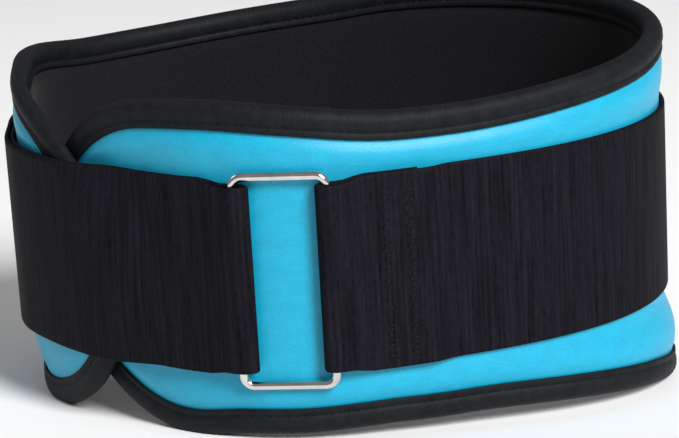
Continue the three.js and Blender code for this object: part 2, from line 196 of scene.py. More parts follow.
def outline_point(column, side):
    """A point of the band's outline.

    column runs from 0 to 1, tip to tip, and side is 1 on the upper edge and -1 on the lower.
    """
    nearer = np.minimum(column, 1 - column) * OUTLINE_PARTS
    angle = np.radians(np.clip(nearer / ROUND_PARTS, 0, 1) * 90)
    round_tip = END_RADIUS * (1 - np.cos(angle))
    straight_parts = OUTLINE_PARTS / 2 - ROUND_PARTS
    past_round = END_RADIUS + (HALF_BAND - END_RADIUS) * (nearer - ROUND_PARTS) / straight_parts
    from_tip = np.where(nearer < ROUND_PARTS, round_tip, past_round)
    fullness = np.where(nearer < ROUND_PARTS, np.sin(angle), 1)
    above = read_table(BAND_HEIGHTS, 1, from_tip / HALF_BAND) * END_RADIUS
    below = read_table(BAND_HEIGHTS, 2, from_tip / HALF_BAND) * END_RADIUS
    rise = side * (above + below) / 2 * fullness
    fade = 1 - ease(from_tip / END_REACH)
    up = (above - below) / 2 + rise
    raised = up + np.where(np.asarray(side) > 0, OUTER_UPPER, OUTER_LOWER) * fade * fullness
    under = column <= 0.5
    under_along = UNDER_TIP + from_tip - UNDER_SKEW * rise * fade
    outer_along = OUTER_TIP - from_tip - OUTER_SKEW * rise * fade
    along = np.where(under, under_along, outer_along)
    return np.stack([along, np.where(under, up, raised)], -1)


BAND_STEPS = 360
_steps = np.arange(BAND_STEPS + 1) / BAND_STEPS
OUTLINE = np.concatenate([outline_point(_steps, 1.0), outline_point(_steps[-2:0:-1], -1.0)])
_along_edge = np.roll(OUTLINE, -1, 0) - np.roll(OUTLINE, 1, 0)
_along_edge /= np.linalg.norm(_along_edge, axis=1)[:, None]
INWARD = np.stack([_along_edge[:, 1], -_along_edge[:, 0]], 1)
_edge_runs = np.linalg.norm(np.diff(np.concatenate([OUTLINE, OUTLINE[:1]]), axis=0), axis=1)
EDGE_LENGTHS = np.concatenate([[0], np.cumsum(_edge_runs)])


def edge_place(station, inset):
    """A point inside the band's outline; the station is a whole or part number of outline steps."""
    count = len(OUTLINE)
    low = np.floor(station).astype(int)
    f = (station - low)[..., None]
    point = OUTLINE[low % count] * (1 - f) + OUTLINE[(low + 1) % count] * f
    inward = INWARD[low % count] * (1 - f) + INWARD[(low + 1) % count] * f
    return point + inward * np.asarray(inset)[..., None]


def edge_distance(flat):
    """How far each point of the band laid flat is from its outline."""
    points = flat.reshape(-1, 2)
    batch = 2000
    found = []
    for i in range(0, len(points), batch):
        apart = points[i : i + batch, None] - OUTLINE[None]
        found.append(np.sqrt((apart**2).sum(-1).min(1)))
    return np.concatenate(found).reshape(flat.shape[:-1])


# Materials


def linear(hex_colour):
    """An sRGB hex colour as the linear numbers that Blender's sockets take."""
    parts = [int(hex_colour[i : i + 2], 16) / 255 for i in (1, 3, 5)]
    return tuple(c / 12.92 if c <= 0.04045 else ((c + 0.055) / 1.055) ** 2.4 for c in parts)


def add_node(tree, kind, inputs=None, **settings):
    """One node, with its settings and with its inputs set or linked."""
    node = tree.nodes.new(kind)
    for key, value in settings.items():
        setattr(node, key, value)
    for socket, value in (inputs or {}).items():
        if isinstance(value, bpy.types.NodeSocket):
            tree.links.new(value, node.inputs[socket])
        else:
            node.inputs[socket].default_value = value
    return node


def new_material(name):
    """An empty node material, its surface shader linked to an output; returns it, its tree and its surface
    shader.
    """
    material = bpy.data.materials.new(name)
    material.use_nodes = True
    tree = material.node_tree
    tree.nodes.clear()
    shader = add_node(tree, "ShaderNodeBsdfPrincipled")
    add_node(tree, "ShaderNodeOutputMaterial", {"Surface": shader.outputs[0]})
    return material, tree, shader


def cloth_place(tree, along, up):
    """The piece's own cloth coordinates in millimetres, stretched by a size along and a size up."""
    lay = add_node(tree, "ShaderNodeAttribute", attribute_name="cloth_mm")
    return add_node(
        tree,
        "ShaderNodeMapping",
        {"Vector": lay.outputs["Vector"], "Scale": (1 / along, 1 / up, 1)},
        vector_type="POINT",
    ).outputs[0]


def noise(tree, place, detail=2.0, roughness=0.5, scale=1.0):
    """Noise on a place, as a value from 0 to 1."""
    inputs = {"Vector": place, "Scale": scale, "Detail": detail, "Roughness": roughness}
    return add_node(tree, "ShaderNodeTexNoise", inputs).outputs[0]


def math_node(tree, operation, a, b=0.0):
    """One sum."""
    return add_node(tree, "ShaderNodeMath", {0: a, 1: b}, operation=operation).outputs[0]


def blend(tree, a, a_share, b, b_share):
    """Two values, each times its share, added up."""
    shares = math_node(tree, "MULTIPLY", a, a_share), math_node(tree, "MULTIPLY", b, b_share)
    return math_node(tree, "ADD", *shares)


def shade(tree, colour, value, darker, lighter):
    """A colour made darker and lighter by a value that mostly lies between 0.3 and 0.7."""
    share = add_node(
        tree,
        "ShaderNodeMapRange",
        {"Value": value, "From Min": 0.3, "From Max": 0.7, "To Min": darker, "To Max": lighter},
    ).outputs[0]
    inputs = {0: tuple(colour), "Scale": share}
    return add_node(tree, "ShaderNodeVectorMath", inputs, operation="SCALE").outputs[0]


def bumped(tree, height, strength, distance):
    """A bump from a height, whose distance is in millimetres."""
    return add_node(
        tree, "ShaderNodeBump", {"Height": height, "Strength": strength, "Distance": distance * MM}
    ).outputs[0]


def set_inputs(shader, values):
    """Set or link a shader's own sockets."""
    for socket, value in values.items():
        if isinstance(value, bpy.types.NodeSocket):
            shader.id_data.links.new(value, shader.inputs[socket])
        else:
            shader.inputs[socket].default_value = value


def turquoise_knit(colour):
    """Brushed polyester knit on foam: slightly mottled, with a soft broad shine where it faces the light."""
    material, tree, shader = new_material("turquoise_polyester_knit")
    mottle = noise(tree, cloth_place(tree, 7, 5), 3, 0.6)
    fine = noise(tree, cloth_place(tree, 1.2, 0.8), 2, 0.7)
    mixed = blend(tree, mottle, 0.45, fine, 0.55)
    # Knit stitches, 0.9 mm apart: the real ones are half that, and would not show.
    wave = 0.9 / (2 * math.pi)
    split = add_node(tree, "ShaderNodeSeparateXYZ", {0: cloth_place(tree, wave, wave)})
    rows, columns = math_node(tree, "SINE", split.outputs[0]), math_node(tree, "SINE", split.outputs[1])
    knit = math_node(tree, "MULTIPLY", rows, columns)
    height = blend(tree, knit, 0.12, mixed, 1.1)
    set_inputs(shader, {
        "Base Color": shade(tree, colour, mixed, 0.86, 1.13),
        "Normal": bumped(tree, height, 0.35, 0.4),
        "Roughness": 0.45,
        "Specular IOR Level": 0.45,
        "Sheen Weight": 0.06,
        "Sheen Roughness": 0.5,
        "Sheen Tint": (*linear("#BFEFFF"), 1),
    })
    return material


def charcoal_lining(colour):
    """Brushed polyester lining: dark, dull and slightly fuzzy."""
    material, tree, shader = new_material("charcoal_brushed_lining")
    fuzz = noise(tree, cloth_place(tree, 1.6, 1.6), 4, 0.7)
    set_inputs(shader, {
        "Base Color": shade(tree, colour, fuzz, 0.7, 1.4),
        "Normal": bumped(tree, fuzz, 0.5, 0.3),
        "Roughness": 0.95,
        "Specular IOR Level": 0.1,
        "Sheen Weight": 0.05,
    })
    return material


def binding_cloth(colour):
    """Woven polyester binding tape: black, matt, with fine ribs across it and soft puckers from sewing."""
    material, tree, shader = new_material("black_binding_tape")
    pucker = noise(tree, cloth_place(tree, 5, 9), 2, 0.5)
    fine = noise(tree, cloth_place(tree, 0.8, 2.5), 2, 0.6)
    mixed = blend(tree, pucker, 0.5, fine, 0.5)
    # Ribs of the tape, 0.9 mm apart.
    split = add_node(tree, "ShaderNodeSeparateXYZ", {0: cloth_place(tree, 0.9 / (2 * math.pi), 1)})
    ribs = math_node(tree, "MULTIPLY", math_node(tree, "SINE", split.outputs[0]), 0.12)
    height = math_node(tree, "ADD", ribs, math_node(tree, "MULTIPLY", mixed, 1.3))
    set_inputs(shader, {
        "Base Color": shade(tree, colour, mixed, 0.6, 1.5),
        "Normal": bumped(tree, height, 0.5, 0.4),
        "Roughness": 0.55,
        "Specular IOR Level": 0.1,
    })
    return material


def strap_webbing(colour):
    """Heavy polyester webbing: black, faintly cool, with fine streaks across it, broken dark and light."""
    material, tree, shader = new_material("black_polyester_webbing")
    # Ribs 2 mm apart, mostly hidden by the streaks.
    split = add_node(tree, "ShaderNodeSeparateXYZ", {0: cloth_place(tree, 2 / (2 * math.pi), 1)})
    rib = math_node(tree, "SINE", split.outputs[0])
    picks = noise(tree, cloth_place(tree, 0.7, 4), 3, 0.7)
    streaks = noise(tree, cloth_place(tree, 1.6, 45), 2, 0.6)
    mixed = blend(tree, picks, 0.45, streaks, 0.55)
    shaded = math_node(tree, "ADD", mixed, math_node(tree, "MULTIPLY", rib, 0.02))
    height = blend(tree, rib, 0.08, mixed, 1.3)
    set_inputs(shader, {
        "Base Color": shade(tree, colour, shaded, 0.2, 2.4),
        "Normal": bumped(tree, height, 0.5, 0.35),
        "Roughness": 0.6,
        "Specular IOR Level": 0.04,
    })
    return material


def sewing_thread(colour):
    """Bonded polyester thread: nearly black, with a slight gloss."""
    material, tree, shader = new_material("black_sewing_thread")
    twist = noise(tree, add_node(tree, "ShaderNodeTexCoord").outputs["Object"], 1, 0.5, 1500)
    set_inputs(shader, {
        "Base Color": shade(tree, colour, twist, 0.6, 1.5),
        "Roughness": 0.5,
        "Specular IOR Level": 0.2,
    })
    return material


def chrome_plate(colour):
    """Chrome-plated steel wire: a bright mirror with faint handling marks and a warm cast."""
    material, tree, shader = new_material("chrome_plated_steel")
    marks = noise(tree, add_node(tree, "ShaderNodeTexCoord").outputs["Object"], 4, 0.6, 220)
    gloss = {"Value": marks, "From Min": 0.3, "From Max": 0.7, "To Min": 0.1, "To Max": 0.2}
    set_inputs(shader, {
        "Base Color": shade(tree, colour, marks, 0.9, 1.1),
        "Roughness": add_node(tree, "ShaderNodeMapRange", gloss).outputs[0],
        "Metallic": 1,
    })
    return material


# Mesh helpers


def cloth_from_grid(name, columns, rows, lay, materials):
    """A closed piece of cloth: a flat grid whose points are laid in place, its edges then joined.

    lay takes each point's column and row. It gives its place in metres, its cloth coordinates in
    millimetres and its material's number.
    """
    sheet = bmesh.new()
    bmesh.ops.create_grid(sheet, x_segments=columns, y_segments=rows, size=0.5)
    mesh = bpy.data.meshes.new(name)
    sheet.to_mesh(mesh)
    sheet.free()
    flat = np.zeros(len(mesh.vertices) * 3)
    mesh.vertices.foreach_get("co", flat)
    flat = flat.reshape(-1, 3)
    column = np.rint((flat[:, 0] + 0.5) * columns).astype(int)
    row = np.rint((flat[:, 1] + 0.5) * rows).astype(int)
    place, cloth, kind = lay(column, row)
    place[:, 2] = np.maximum(place[:, 2], 0)
    mesh.vertices.foreach_set("co", place.ravel())
    cloth_mm = mesh.attributes.new("cloth_mm", "FLOAT_VECTOR", "POINT")
    cloth_mm.data.foreach_set("vector", cloth.astype(float).ravel())
    for material in materials:
        mesh.materials.append(material)
    for face in mesh.polygons:
        face.material_index = int(kind[list(face.vertices)].max())
        face.use_smooth = True
    joined = bmesh.new()
    joined.from_mesh(mesh)
    bmesh.ops.remove_doubles(joined, verts=joined.verts[:], dist=4e-7)
    bmesh.ops.recalc_face_normals(joined, faces=joined.faces[:])
    loose = [edge for edge in joined.edges if len(edge.link_faces) != 2]
    if loose:
        raise RuntimeError(f"{name} isn't closed: {len(loose)} edges don't join two faces")
    joined.to_mesh(mesh)
    joined.free()
    piece = bpy.data.objects.new(name, mesh)
    bpy.context.scene.collection.objects.link(piece)
    return piece


def stitches_along(name, places, material):
    """Short threads. Each place's matrix has a thread's half length, half width and half height as axes."""
    thread = bmesh.new()
    for place in places:
        bmesh.ops.create_icosphere(thread, subdivisions=1, radius=1, matrix=place)
    for face in thread.faces:
        face.smooth = True
    mesh = bpy.data.meshes.new(name)
    thread.to_mesh(mesh)
    thread.free()
    mesh.materials.append(material)
    piece = bpy.data.objects.new(name, mesh)
    bpy.context.scene.collection.objects.link(piece)
    return piece


def stitch_matrix(start, end, outward, width, height):
    """A thread from start to end, lying on a surface that faces outward."""
    middle = (start + end) / 2
    ahead = (end - start) / 2
    normal = outward / np.linalg.norm(outward)
    side = np.cross(normal, ahead / np.linalg.norm(ahead))
    return Matrix(
        (
            (ahead[0], side[0] * width, normal[0] * height, middle[0]),
            (ahead[1], side[1] * width, normal[1] * height, middle[1]),
            (ahead[2], side[2] * width, normal[2] * height, middle[2]),
            (0, 0, 0, 1),
        )
    )


def number(low, high, default, name, description):
    """A length property in metres."""
    return FloatProperty(
        name=name, description=description, default=default, min=low, max=high, unit="LENGTH", precision=5
    )


def strength(default, name, description):
    """A light's power or strength."""
    return FloatProperty(name=name, description=description, default=default, min=0)


def colour(default, name, description):
    """A colour property."""
    return FloatVectorProperty(
        name=name, description=description, default=linear(default), size=3, min=0, max=1, subtype="COLOR"
    )


class BandSettings(bpy.types.PropertyGroup):
    """Sizes and colours of the padded band and its binding."""

    crown: number(0, 0.003, 0.0007, "Crown", "How far the foam swells above and below the strap")
    cloth: colour("#039DC0", "Cloth", "Colour of the outer cloth")
    lining: colour("#18171B", "Lining", "Colour of the inner cloth")
    tape: colour("#15171A", "Tape", "Colour of the edge binding")
    puff: number(0, 0.001, 0.0002, "Puff", "How far the binding swells between its stitches and the edge")


class StrapSettings(bpy.types.PropertyGroup):
    """Sizes and colours of the webbing strap."""

    width: number(0.02, 0.12, 0.076, "Width", "Width of the webbing")
    thickness: number(0.0005, 0.004, 0.0019, "Thickness", "Thickness of the webbing")
    webbing: colour("#111015", "Webbing", "Colour of the webbing")


class RingSettings(bpy.types.PropertyGroup):
    """Sizes and colours of the wire ring."""

    wire: number(0.001, 0.01, 0.0035, "Wire", "Diameter of the wire")
    inside_width: number(0.01, 0.1, 0.031, "Inside width", "Room between the two bars")
    inside_height: number(0.02, 0.15, 0.0776, "Inside height", "Room for the webbing")
    bend: number(0.002, 0.02, 0.004, "Bend", "Radius of the corners, at the middle of the wire")
    chrome: colour("#DAD3CF", "Chrome", "Colour of the plating")


class StitchSettings(bpy.types.PropertyGroup):
    """Sizes of the stitching."""

    length: number(0.001, 0.01, 0.0032, "Stitch length", "From one stitch of the binding to the next")
    zigzag_pitch: number(0.001, 0.01, 0.0041, "Zigzag pitch", "Height of one zigzag")
    zigzag_width: number(0.001, 0.01, 0.0033, "Zigzag width", "Width of the zigzag seam")
    thread: number(0.0001, 0.001, 0.0005, "Thread", "Thickness of the thread")
    black: colour("#08070A", "Thread colour", "Colour of the thread")


class StudioSettings(bpy.types.PropertyGroup):
    """Light and floor."""

    key: strength(1080, "Key light", "Power of the large light at the right front")
    fill: strength(45, "Fill light", "Power of the soft light from the left")
    room: strength(0.24, "Room light", "Strength of the pale room all round")
    floor: colour("#FFFFFF", "Floor", "Colour of the floor")


class BELT_OT_padded_band(bpy.types.Operator):
    """Make the padded band: foam between turquoise knit and dark lining"""

    bl_idname = "belt.padded_band"
    bl_label = "Padded band"

    def execute(self, context):
        sizes = context.scene.belt_band
        rows = 46
        count = len(OUTLINE)

        def lay(column, row):
            inner = row > rows
            across = np.where(inner, 2 * rows - row, row) / rows
            across = 0.55 * across + 0.45 * (1 - np.cos(math.pi * across)) / 2
            inset = 8.5
            top = edge_place(column.astype(float), np.full(column.shape, inset))
            bottom = edge_place(((count - column) % count).astype(float), np.full(column.shape, inset))
            flat = top + (bottom - top) * across[:, None]
            depth = edge_distance(flat)
            rounded = np.sqrt(1 - (1 - np.clip((depth - inset) / 0.9, 0, 1)) ** 2)
            thick = 2.35 * rounded + 1.15 * ease((depth - 9.8) / 5.2)
            # The foam swells between the strap and the binding.
            beyond = np.abs(flat[:, 1]) - 38
            room = np.maximum(depth - 10.6 + beyond, 1)
            swell = np.sin(math.pi * np.clip(beyond / room, 0, 1)) ** 2 * ease((depth - 10.6) / 4)
            thick = thick + np.where(inner | (beyond < 0), 0, sizes.crown / MM * swell)
            # Small unevenness of the bonded foam.
            along, up = flat[:, 0], flat[:, 1]
            uneven = np.sin(along / 11 + 1.3 * np.sin(up / 9)) + np.sin(up / 7 + along / 23)
            thick = thick + 0.05 * uneven * ease((depth - 12) / 8)
            place = on_band(flat, np.where(inner, -thick, thick))
            cloth = np.stack([flat[:, 0], flat[:, 1], np.where(inner, -5, 5)], 1)
            return place, cloth, inner.astype(int)

        materials = [turquoise_knit(sizes.cloth), charcoal_lining(sizes.lining)]
        band = cloth_from_grid("padded_band", BAND_STEPS, 2 * rows, lay, materials)
        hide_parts("belt_body")
        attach(band, "root")
        return {"FINISHED"}


# Section of the binding, from the tape's edge on the outside, round the band's edge: inset and out.
TAPE_SECTION = np.array([
    (10.3, 2.72), (10.62, 2.8), (10.8, 3.2), (10.66, 3.62), (10.3, 3.82), (9.6, 3.86), (8.9, 3.76),
    (8.35, 3.52), (8.0, 3.36), (7.65, 3.5), (7.1, 3.78), (6.3, 3.97), (5.2, 4.0), (4.0, 3.93),
    (2.8, 3.66), (1.7, 3.12), (0.8, 2.3), (0.2, 1.2), (0.0, 0.0),
])
# The tape's inner face, from its edge on the lining to its edge on the outside: inset and out.
TAPE_INSIDE = np.array([
    (9.0, -2.66), (5, -2.6), (2.2, -2.2), (1.5, -1.2), (1.5, 1.2), (2.2, 2.2), (5, 2.6), (9.0, 2.66),
])


class BELT_OT_edge_binding(bpy.types.Operator):
    """Make the binding: black tape folded over the band's whole edge"""

    bl_idname = "belt.edge_binding"
    bl_label = "Edge binding"

    def execute(self, context):
        sizes = context.scene.belt_band
        puff = sizes.puff / MM
        outer = TAPE_SECTION.copy()
        outer[:, 1] += puff * np.sin(np.clip((7.8 - outer[:, 0]) / 6.5, 0, 1) * math.pi)
        mirrored = outer[-2::-1] * (1, -1)
        section = np.concatenate([outer, mirrored, TAPE_INSIDE])
        around = np.concatenate([[0], np.cumsum(np.linalg.norm(np.diff(section, axis=0), axis=1))])
        steps = 2 * BAND_STEPS

        def lay(column, row):
            station = (column % steps).astype(float)
            at = section[row % len(section)]
            # The tape gathers a little from stitch to stitch.
            wave = np.sin(EDGE_LENGTHS[column % steps] / 3.2 * math.pi)
            gather = 0.05 * wave * np.clip(at[:, 0] / 4, 0, 1)
            out = at[:, 1] + np.sign(at[:, 1]) * gather * (np.abs(at[:, 1]) > 3)
            place = on_band(edge_place(station, at[:, 0]), out)
            cloth = np.stack([EDGE_LENGTHS[column], around[row % len(section)], np.zeros(len(row))], 1)
            return place, cloth, np.zeros(len(row), int)

        tape = cloth_from_grid("binding_tape", steps, len(section), lay, [binding_cloth(sizes.tape)])
        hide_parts("edge_binding")
        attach(tape, "root")
        return {"FINISHED"}


def ring_layout(scene):
    """Where the ring's bars and the strap's folds lie: a dictionary of lengths in millimetres."""
    strap, ring = scene.belt_strap, scene.belt_ring
    thick, wire = strap.thickness / MM, ring.wire / MM
    at = {"thick": thick, "wire": wire}
    at["strap_out"] = BAND_HALF + STRAP_GAP + thick / 2
    at["layer"] = thick + CLEARANCE
    at["wire_out"] = at["strap_out"] + thick / 2 + CLEARANCE + wire / 2
    at["fold"] = wire / 2 + CLEARANCE + thick / 2
    bend = float(waist_radius(RING_TURN))
    half = (ring.inside_width / MM + wire) / 2 * bend / (bend + at["wire_out"])
    at["left_bar"] = along_at(RING_TURN) + half
    at["right_bar"] = along_at(RING_TURN) - half + LOOP
    at["fold_edge"] = at["left_bar"] - at["fold"] - thick / 2
    at["sewn_end"] = at["fold_edge"] + SEWN_LOOP_LENGTH
    # The webbing gathers at the bars, until it lies on their straight length.
    straight = (ring.inside_height / MM + wire) / 2 - ring.bend / MM - RING_DROP
    at["gathered"] = min(1, (straight + 0.75) / (strap.width / MM / 2))
    return at


def ring_frame(at):
    """The ring's middle in metres, its side, top and front axes, and half the way between its bars."""
    left, right = on_loop(at["right_bar"], 0, at["wire_out"]), on_loop(at["left_bar"], 0, at["wire_out"])
    top = on_loop(at["right_bar"], 1, at["wire_out"]) - left
    top /= np.linalg.norm(top)
    half_width = np.linalg.norm(right - left) / 2
    side = (right - left) / (2 * half_width)
    return (left + right) / 2 - top * RING_DROP * MM, side, top, np.cross(side, top), half_width


def outer_tip_at(up):
    """Where the outer end stops, at a height."""
    round_steps = BAND_STEPS * ROUND_PARTS // OUTLINE_PARTS
    round_end = OUTLINE[BAND_STEPS + round_steps : BAND_STEPS - round_steps : -1]
    return np.interp(up, round_end[:, 1], round_end[:, 0])


def strap_lift(along, up):
    """How far the strap is lifted by the outer end, and how it comes down over its edge."""
    step = (along - outer_tip_at(up) + STEP_BEFORE) / (STEP_BEFORE + STEP_AFTER)
    return STRAP_RISE * into_lap(along - LOOP) * (1 - ease(step))


def strap_line(at, up):
    """The strap's middle line at each height in up, as two arrays of stations by heights: along, out."""
    alongs, outs = [], []

    def add(along, out):
        alongs.append(np.broadcast_to(along, up.shape).astype(float))
        outs.append(np.broadcast_to(out, up.shape).astype(float))

    folds = 18
    top, over = at["wire_out"] + at["fold"], at["strap_out"] + at["layer"]
    for t in (0, 0.01, 0.025, 0.05, 0.1, 0.2, 0.3, 0.4, 0.5, 0.6, 0.7, 0.8, 0.9):
        add(at["sewn_end"] + (at["left_bar"] - at["sewn_end"]) * t, at["strap_out"])
    for i in range(folds + 1):
        angle = math.radians(-90 - 180 * i / folds)
        add(at["left_bar"] + at["fold"] * math.cos(angle), at["wire_out"] + at["fold"] * math.sin(angle))
    for i in range(1, 11):
        add(at["left_bar"] + LAY_EASE * i / 10, top + (over - top) * ease(i / 10))
    for t in np.linspace(0.1, 1, 8):
        add(at["left_bar"] + LAY_EASE + (at["sewn_end"] - at["left_bar"] - LAY_EASE) * t, over)
    for i in range(9):
        add(at["sewn_end"] + 2 + END_EASE * i / 8, over + (at["strap_out"] - over) * ease(i / 8))
    start, end = at["sewn_end"] + END_EASE + 5, OUTER_TIP - 32
    for along in np.linspace(start, end, 170):
        add(along, at["strap_out"] + strap_lift(along, up))
    tip = outer_tip_at(up)
    down = [end + (tip - STEP_BEFORE - end) * t for t in np.linspace(0.1, 0.9, 9)]
    down += [tip - STEP_BEFORE + (STEP_BEFORE + STEP_AFTER) * t for t in np.linspace(0, 1, 24)]
    flat_again = tip + STEP_AFTER
    before_bar = at["right_bar"] - LAY_EASE - 3
    down += [flat_again + (before_bar - flat_again) * t for t in np.linspace(0.15, 1, 6)]
    for along in down:
        add(along, at["strap_out"] + strap_lift(along, up))
    for back in (14, 10, 6, 3):
        add(at["right_bar"] - back, at["strap_out"])
    for i in range(folds + 1):
        angle = math.radians(-90 + 180 * i / folds)
        slack_fold = (at["fold"] + TAIL_SLACK) * math.cos(angle)
        add(at["right_bar"] + slack_fold, at["wire_out"] + at["fold"] * math.sin(angle))
    for i in range(1, 11):
        add(at["right_bar"] - LAY_EASE * i / 10, top + (over - top) * ease(i / 10))
    tail_end = along_at(TAIL_END_TURN) + LOOP
    back = list(reversed(down)) + [along + 0 * up for along in np.linspace(end, tail_end + 1.2, 62)]
    back += [tail_end + x + 0 * up for x in (0.8, 0.45, 0.2, 0)]
    for along in back:
        here, ahead = strap_lift(along, up), strap_lift(along + 0.01, up)
        slope = (ahead - here) / 0.01
        length = np.sqrt(1 + slope**2)
        add(along - slope / length * at["layer"], at["strap_out"] + here + at["layer"] / length)
    return np.array(alongs), np.array(outs)


class BELT_OT_webbing_strap(bpy.types.Operator):
    """Make the strap: one length of webbing, sewn round one bar and turned back over the other"""

    bl_idname = "belt.webbing_strap"
    bl_label = "Webbing strap"

    def execute(self, context):
        scene = context.scene
        at = ring_layout(scene)
        half, thick = scene.belt_strap.width / MM / 2, at["thick"]
        edge = np.array([0, 0.15, 0.4, 0.8, 1.5, 2.6])
        heights = np.concatenate([half - edge, np.linspace(half - 5, 5 - half, 16), (edge - half)[::-1]])
        along, out = strap_line(at, heights)
        ahead = np.stack([np.gradient(along, axis=0), np.gradient(out, axis=0)], -1)
        ahead /= np.maximum(np.linalg.norm(ahead, axis=-1, keepdims=True), 1e-9)
        middle = len(heights) // 2
        runs = np.hypot(np.diff(along, axis=0), np.diff(out, axis=0))
        woven = np.concatenate([np.zeros((1, len(heights))), np.cumsum(runs, axis=0)])
        length = woven[:, middle]
        # Rounded selvedges and cut ends.
        inset = np.minimum(half - np.abs(heights), thick / 2)
        round_edge = np.sqrt(np.clip(1 - (1 - inset / (thick / 2)) ** 2, 0, 1))
        from_end = np.minimum(np.minimum(length, length[-1] - length), thick / 2)
        round_end = np.sqrt(np.clip(1 - (1 - from_end / (thick / 2)) ** 2, 0, 1))
        thickness = thick / 2 * round_edge[None] * round_end[:, None]
        bar = np.minimum(np.abs(along - at["left_bar"]), np.abs(along - at["right_bar"]))
        gather = at["gathered"] + (1 - at["gathered"]) * ease((bar - 4) / 10)
        up = heights[None] * gather
        stations, across = along.shape

        def lay(column, row):
            under = row >= across
            line = np.where(under, 2 * (across - 1) - row, row)
            i, j = column, line
            sign = np.where(under, -1, 1)
            away = sign * thickness[i, j]
            place = on_loop(along[i, j] - ahead[i, j, 1] * away, up[i, j], out[i, j] + ahead[i, j, 0] * away)
            cloth = np.stack([woven[i, j], heights[j], sign * 3.0], 1)
            return place, cloth, np.zeros(len(row), int)

        materials = [strap_webbing(scene.belt_strap.webbing)]
        strap = cloth_from_grid("webbing_strap", stations - 1, 2 * (across - 1), lay, materials)
        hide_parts("strap")
        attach(strap, "root")
        return {"FINISHED"}


class BELT_OT_wire_ring(bpy.types.Operator):
    """Make the ring: round wire bent into a rectangle and plated"""

    bl_idname = "belt.wire_ring"
    bl_label = "Wire ring"

    def execute(self, context):
        scene = context.scene
        at, sizes = ring_layout(scene), scene.belt_ring
        centre, side, top, front, half_width = ring_frame(at)
        half_height = (sizes.inside_height + sizes.wire) / 2
        bend = sizes.bend
        wire = bmesh.new()
        start = Matrix.Translation((half_width, bend - half_height, 0)) @ Matrix.Rotation(math.pi / 2, 4, "X")
        circle = bmesh.ops.create_circle(wire, segments=20, radius=sizes.wire / 2, matrix=start)
        rim = list({edge for vert in circle["verts"] for edge in vert.link_edges})
        straight = [2 * (half_height - bend), 2 * (half_width - bend)] * 2
        for corner, reach in enumerate(straight):
            turned = Matrix.Rotation(math.pi / 2 * corner, 3, "Z")
            for _ in range(8):
                grown = bmesh.ops.extrude_edge_only(wire, edges=rim)["geom"]
                verts = [g for g in grown if isinstance(g, bmesh.types.BMVert)]
                step = turned @ Matrix.Translation((0, reach / 8, 0)).translation
                bmesh.ops.translate(wire, verts=verts, vec=step)
                edges = [g for g in grown if isinstance(g, bmesh.types.BMEdge)]
                rim = [edge for edge in edges if all(v in set(verts) for v in edge.verts)]
            middle = sum((edge.verts[0].co for edge in rim), start.translation * 0) / len(rim)
            pivot = middle + turned @ Matrix.Translation((-bend, 0, 0)).translation
            swung = bmesh.ops.spin(
                wire, geom=rim + verts, cent=pivot, axis=(0, 0, 1), dvec=(0, 0, 0), angle=math.pi / 2,
                steps=10, use_merge=False, use_normal_flip=False, use_duplicate=False,
            )["geom_last"]
            rim = [g for g in swung if isinstance(g, bmesh.types.BMEdge)]
        bmesh.ops.remove_doubles(wire, verts=wire.verts[:], dist=2e-5)
        bmesh.ops.recalc_face_normals(wire, faces=wire.faces[:])
        if any(len(edge.link_faces) != 2 for edge in wire.edges):
            raise RuntimeError("the ring isn't closed")
        axes = Matrix([[side[k], top[k], front[k], centre[k]] for k in range(3)] + [[0, 0, 0, 1]])
        bmesh.ops.transform(wire, matrix=axes, verts=wire.verts[:])
        for face in wire.faces:
            face.smooth = True
        mesh = bpy.data.meshes.new("chromed_ring")
        wire.to_mesh(mesh)
        wire.free()
        mesh.materials.append(chrome_plate(sizes.chrome))
        ring = bpy.data.objects.new("chromed_ring", mesh)
        scene.collection.objects.link(ring)
        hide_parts("ring")
        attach(ring, "root")
        return {"FINISHED"}


class BELT_OT_stitching(bpy.types.Operator):
    """Sew the binding down, and the strap to itself"""

    bl_idname = "belt.stitching"
    bl_label = "Stitching"

    def execute(self, context):
        scene = context.scene
        at, sizes = ring_layout(scene), scene.belt_stitches
        thread = sizes.thread
        black = sewing_thread(sizes.black)
        # Lock stitches in the groove of the binding, outside and inside.
        pitch = sizes.length / MM
        count = int(EDGE_LENGTHS[-1] / pitch)
        starts = np.arange(count) * EDGE_LENGTHS[-1] / count
        steps = np.arange(len(EDGE_LENGTHS), dtype=float)
        first = np.interp(starts, EDGE_LENGTHS, steps)
        last = np.interp(starts + 0.8 * pitch, EDGE_LENGTHS, steps)
        inset = np.full(count, BINDING_SEAM_INSET)
        places = []
        for side in (1, -1):
            a = on_band(edge_place(first, inset), 3.4 * side)
            b = on_band(edge_place(last, inset), 3.4 * side)
            away = on_band(edge_place(first, inset), 4.4 * side) - a
            places += [stitch_matrix(a[i], b[i], away[i], thread / 2, thread / 2) for i in range(count)]
        sewn = stitches_along("binding_stitches", places, black)
        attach(sewn, "root")
        # Two zigzag seams where the strap is sewn to itself.
        surface = at["strap_out"] + at["layer"] + at["thick"] / 2
        legs = int(scene.belt_strap.width / MM * 0.96 / (sizes.zigzag_pitch / MM / 2))
        turns = np.arange(legs + 1)
        heights = (turns - legs / 2 + 0.12 * np.sin(turns * 2.3)) * sizes.zigzag_pitch / MM / 2
        # The seam wanders a little, as the machine's does on thick webbing.
        swing = (np.where(turns % 2, 1, -1) + 0.18 * np.sin(turns * 1.9)) * sizes.zigzag_width / MM / 2
        places = []
        for from_fold in ZIGZAG_SEAMS:
            along = at["fold_edge"] + from_fold + swing
            points = on_loop(along, heights, surface)
            away = on_loop(along, heights, surface + 1) - points
            for i in range(legs):
                places.append(stitch_matrix(points[i], points[i + 1], away[i], thread * 0.8, thread * 0.5))
        zigzag = stitches_along("strap_zigzag", places, black)
        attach(zigzag, "root")
        return {"FINISHED"}


